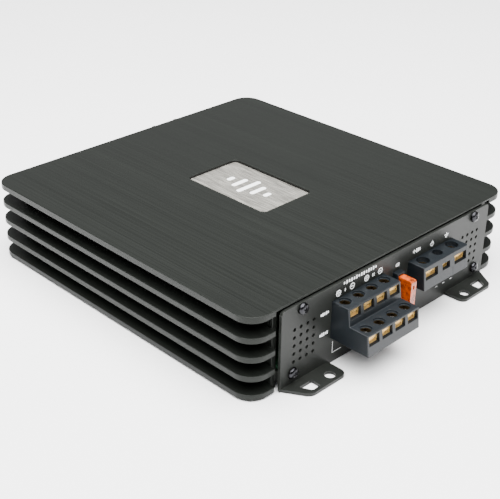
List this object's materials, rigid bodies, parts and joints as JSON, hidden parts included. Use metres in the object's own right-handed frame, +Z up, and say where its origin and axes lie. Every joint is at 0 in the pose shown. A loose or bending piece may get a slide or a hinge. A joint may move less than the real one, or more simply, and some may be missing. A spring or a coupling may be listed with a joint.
{
  "type": "car amplifier",
  "caption": "Finned aluminium car amplifier with screw terminals and a blade fuse at one end, input jacks and level controls at the other, on four sheet-metal feet.",
  "frame": {"origin": "bottom centre of the whole object's box, on the surface that the feet stand on", "axes": "+X across the fins, to the right when looking at the output end; +Y along the fins, from the output end (-Y) to the input end (+Y); +Z up"},
  "size_m": [0.188, 0.2318, 0.0435],
  "materials": {
    "anodised_aluminium": "black anodised, brushed along the fins",
    "painted_steel": "satin black powder coat",
    "zinc_steel": "zinc plated",
    "nameplate_metal": "satin silver",
    "black_screw_steel": "black oxide",
    "terminal_plastic": "moulded, satin",
    "brass": "stamped",
    "terminal_screw_metal": "nickel or tin plated",
    "fuse_amber": "translucent amber",
    "board_laminate": "solder mask",
    "copper_winding": "enamelled copper wire",
    "capacitor_sleeve": "shrink sleeve",
    "jack_plastic": "moulded",
    "control_plastic": "moulded",
    "light_lens": "clear tinted"
  },
  "bodies": {
    "chassis": {"heatsink_housing": "anodised_aluminium", "output_end_plate": "painted_steel", "input_end_plate": "painted_steel", "bottom_cover": "zinc_steel", "cover_screw_front_left": "zinc_steel", "cover_screw_front_right": "zinc_steel", "cover_screw_rear_left": "zinc_steel", "cover_screw_rear_right": "zinc_steel", "transistor_clamp_left": "zinc_steel", "transistor_clamp_right": "zinc_steel", "nameplate": "nameplate_metal", "output_plate_screw_upper_left": "black_screw_steel", "output_plate_screw_upper_right": "black_screw_steel", "output_plate_screw_lower_left": "black_screw_steel", "output_plate_screw_lower_right": "black_screw_steel", "input_plate_screw_upper_left": "black_screw_steel", "input_plate_screw_upper_right": "black_screw_steel", "input_plate_screw_lower_left": "black_screw_steel", "input_plate_screw_lower_right": "black_screw_steel", "speaker_terminal_block": "terminal_plastic", "power_terminal_block": "terminal_plastic", "fuse_holder": "terminal_plastic", "circuit_board": "board_laminate", "toroid_transformer": "copper_winding", "filter_capacitor_1": "capacitor_sleeve", "filter_capacitor_2": "capacitor_sleeve", "front_jack_block": "jack_plastic", "rear_jack_block": "jack_plastic", "power_light": "light_lens"},
    "fuse": {"blade_fuse_body": "fuse_amber", "blade_fuse_element": "terminal_screw_metal"},
    "front_level_control": {"front_level_knob": "control_plastic"},
    "front_filter_control": {"front_filter_knob": "control_plastic"},
    "rear_level_control": {"rear_level_knob": "control_plastic"},
    "rear_filter_control": {"rear_filter_knob": "control_plastic"},
    "front_filter_switch_slider": {"front_filter_switch": "control_plastic"},
    "rear_filter_switch_slider": {"rear_filter_switch": "control_plastic"},
    "clamp_upper_1": {"wire_clamp_upper_1": "brass"},
    "screw_upper_1": {"terminal_screw_upper_1": "terminal_screw_metal"},
    "clamp_upper_2": {"wire_clamp_upper_2": "brass"},
    "screw_upper_2": {"terminal_screw_upper_2": "terminal_screw_metal"},
    "clamp_upper_3": {"wire_clamp_upper_3": "brass"},
    "screw_upper_3": {"terminal_screw_upper_3": "terminal_screw_metal"},
    "clamp_upper_4": {"wire_clamp_upper_4": "brass"},
    "screw_upper_4": {"terminal_screw_upper_4": "terminal_screw_metal"},
    "clamp_lower_1": {"wire_clamp_lower_1": "brass"},
    "screw_lower_1": {"terminal_screw_lower_1": "terminal_screw_metal"},
    "clamp_lower_2": {"wire_clamp_lower_2": "brass"},
    "screw_lower_2": {"terminal_screw_lower_2": "terminal_screw_metal"},
    "clamp_lower_3": {"wire_clamp_lower_3": "brass"},
    "screw_lower_3": {"terminal_screw_lower_3": "terminal_screw_metal"},
    "clamp_lower_4": {"wire_clamp_lower_4": "brass"},
    "screw_lower_4": {"terminal_screw_lower_4": "terminal_screw_metal"},
    "clamp_supply": {"wire_clamp_supply": "brass"},
    "screw_supply": {"terminal_screw_supply": "terminal_screw_metal"},
    "clamp_remote": {"wire_clamp_remote": "brass"},
    "screw_remote": {"terminal_screw_remote": "terminal_screw_metal"},
    "clamp_ground": {"wire_clamp_ground": "brass"},
    "screw_ground": {"terminal_screw_ground": "terminal_screw_metal"}
  },
  "joints": [
    {"name": "fuse_pull", "type": "slide", "parent": "chassis", "child": "fuse", "axis": [0, -1, 0], "range_m": [0, 0.0095]},
    {"name": "front_level_turn", "type": "hinge", "parent": "chassis", "child": "front_level_control", "pos_m": [0.0045, 0.1019, 0.027], "axis": [0, 1, 0], "range_deg": [-140, 140]},
    {"name": "front_filter_turn", "type": "hinge", "parent": "chassis", "child": "front_filter_control", "pos_m": [-0.0145, 0.1019, 0.027], "axis": [0, 1, 0], "range_deg": [-140, 140]},
    {"name": "rear_level_turn", "type": "hinge", "parent": "chassis", "child": "rear_level_control", "pos_m": [-0.0245, 0.1019, 0.027], "axis": [0, 1, 0], "range_deg": [-140, 140]},
    {"name": "rear_filter_turn", "type": "hinge", "parent": "chassis", "child": "rear_filter_control", "pos_m": [-0.0435, 0.1019, 0.027], "axis": [0, 1, 0], "range_deg": [-140, 140]},
    {"name": "front_filter_switch_slide", "type": "slide", "parent": "chassis", "child": "front_filter_switch_slider", "axis": [-1, 0, 0], "range_m": [0, 0.005]},
    {"name": "rear_filter_switch_slide", "type": "slide", "parent": "chassis", "child": "rear_filter_switch_slider", "axis": [-1, 0, 0], "range_m": [0, 0.005]},
    {"name": "clamp_lift_upper_1", "type": "slide", "parent": "chassis", "child": "clamp_upper_1", "axis": [0, 0, 1], "range_m": [0, 0.0025]},
    {"name": "screw_turn_upper_1", "type": "hinge", "parent": "clamp_upper_1", "child": "screw_upper_1", "pos_m": [-0.03968, -0.097, 0.0286], "axis": [0, 0, 1], "range_deg": [0, 1800]},
    {"name": "clamp_lift_upper_2", "type": "slide", "parent": "chassis", "child": "clamp_upper_2", "axis": [0, 0, 1], "range_m": [0, 0.0025]},
    {"name": "screw_turn_upper_2", "type": "hinge", "parent": "clamp_upper_2", "child": "screw_upper_2", "pos_m": [-0.03046, -0.097, 0.0286], "axis": [0, 0, 1], "range_deg": [0, 1800]},
    {"name": "clamp_lift_upper_3", "type": "slide", "parent": "chassis", "child": "clamp_upper_3", "axis": [0, 0, 1], "range_m": [0, 0.0025]},
    {"name": "screw_turn_upper_3", "type": "hinge", "parent": "clamp_upper_3", "child": "screw_upper_3", "pos_m": [-0.02124, -0.097, 0.0286], "axis": [0, 0, 1], "range_deg": [0, 1800]},
    {"name": "clamp_lift_upper_4", "type": "slide", "parent": "chassis", "child": "clamp_upper_4", "axis": [0, 0, 1], "range_m": [0, 0.0025]},
    {"name": "screw_turn_upper_4", "type": "hinge", "parent": "clamp_upper_4", "child": "screw_upper_4", "pos_m": [-0.01202, -0.097, 0.0286], "axis": [0, 0, 1], "range_deg": [0, 1800]},
    {"name": "clamp_lift_lower_1", "type": "slide", "parent": "chassis", "child": "clamp_lower_1", "axis": [0, 0, 1], "range_m": [0, 0.0025]},
    {"name": "screw_turn_lower_1", "type": "hinge", "parent": "clamp_lower_1", "child": "screw_lower_1", "pos_m": [-0.03968, -0.1098, 0.0199], "axis": [0, 0, 1], "range_deg": [0, 1800]},
    {"name": "clamp_lift_lower_2", "type": "slide", "parent": "chassis", "child": "clamp_lower_2", "axis": [0, 0, 1], "range_m": [0, 0.0025]},
    {"name": "screw_turn_lower_2", "type": "hinge", "parent": "clamp_lower_2", "child": "screw_lower_2", "pos_m": [-0.03046, -0.1098, 0.0199], "axis": [0, 0, 1], "range_deg": [0, 1800]},
    {"name": "clamp_lift_lower_3", "type": "slide", "parent": "chassis", "child": "clamp_lower_3", "axis": [0, 0, 1], "range_m": [0, 0.0025]},
    {"name": "screw_turn_lower_3", "type": "hinge", "parent": "clamp_lower_3", "child": "screw_lower_3", "pos_m": [-0.02124, -0.1098, 0.0199], "axis": [0, 0, 1], "range_deg": [0, 1800]},
    {"name": "clamp_lift_lower_4", "type": "slide", "parent": "chassis", "child": "clamp_lower_4", "axis": [0, 0, 1], "range_m": [0, 0.0025]},
    {"name": "screw_turn_lower_4", "type": "hinge", "parent": "clamp_lower_4", "child": "screw_lower_4", "pos_m": [-0.01202, -0.1098, 0.0199], "axis": [0, 0, 1], "range_deg": [0, 1800]},
    {"name": "clamp_lift_supply", "type": "slide", "parent": "chassis", "child": "clamp_supply", "axis": [0, 0, 1], "range_m": [0, 0.0025]},
    {"name": "screw_turn_supply", "type": "hinge", "parent": "clamp_supply", "child": "screw_supply", "pos_m": [0.0173, -0.0973, 0.0263], "axis": [0, 0, 1], "range_deg": [0, 1800]},
    {"name": "clamp_lift_remote", "type": "slide", "parent": "chassis", "child": "clamp_remote", "axis": [0, 0, 1], "range_m": [0, 0.002]},
    {"name": "screw_turn_remote", "type": "hinge", "parent": "clamp_remote", "child": "screw_remote", "pos_m": [0.0289, -0.0973, 0.0266], "axis": [0, 0, 1], "range_deg": [0, 1440]},
    {"name": "clamp_lift_ground", "type": "slide", "parent": "chassis", "child": "clamp_ground", "axis": [0, 0, 1], "range_m": [0, 0.0025]},
    {"name": "screw_turn_ground", "type": "hinge", "parent": "clamp_ground", "child": "screw_ground", "pos_m": [0.0405, -0.0973, 0.0263], "axis": [0, 0, 1], "range_deg": [0, 1800]}
  ],
  "couplings": [
    {"joint": "screw_turn_upper_1", "follows": "clamp_lift_upper_1", "rad_per_m": 12566},
    {"joint": "screw_turn_upper_2", "follows": "clamp_lift_upper_2", "rad_per_m": 12566},
    {"joint": "screw_turn_upper_3", "follows": "clamp_lift_upper_3", "rad_per_m": 12566},
    {"joint": "screw_turn_upper_4", "follows": "clamp_lift_upper_4", "rad_per_m": 12566},
    {"joint": "screw_turn_lower_1", "follows": "clamp_lift_lower_1", "rad_per_m": 12566},
    {"joint": "screw_turn_lower_2", "follows": "clamp_lift_lower_2", "rad_per_m": 12566},
    {"joint": "screw_turn_lower_3", "follows": "clamp_lift_lower_3", "rad_per_m": 12566},
    {"joint": "screw_turn_lower_4", "follows": "clamp_lift_lower_4", "rad_per_m": 12566},
    {"joint": "screw_turn_supply", "follows": "clamp_lift_supply", "rad_per_m": 12566},
    {"joint": "screw_turn_remote", "follows": "clamp_lift_remote", "rad_per_m": 12566},
    {"joint": "screw_turn_ground", "follows": "clamp_lift_ground", "rad_per_m": 12566}
  ]
}
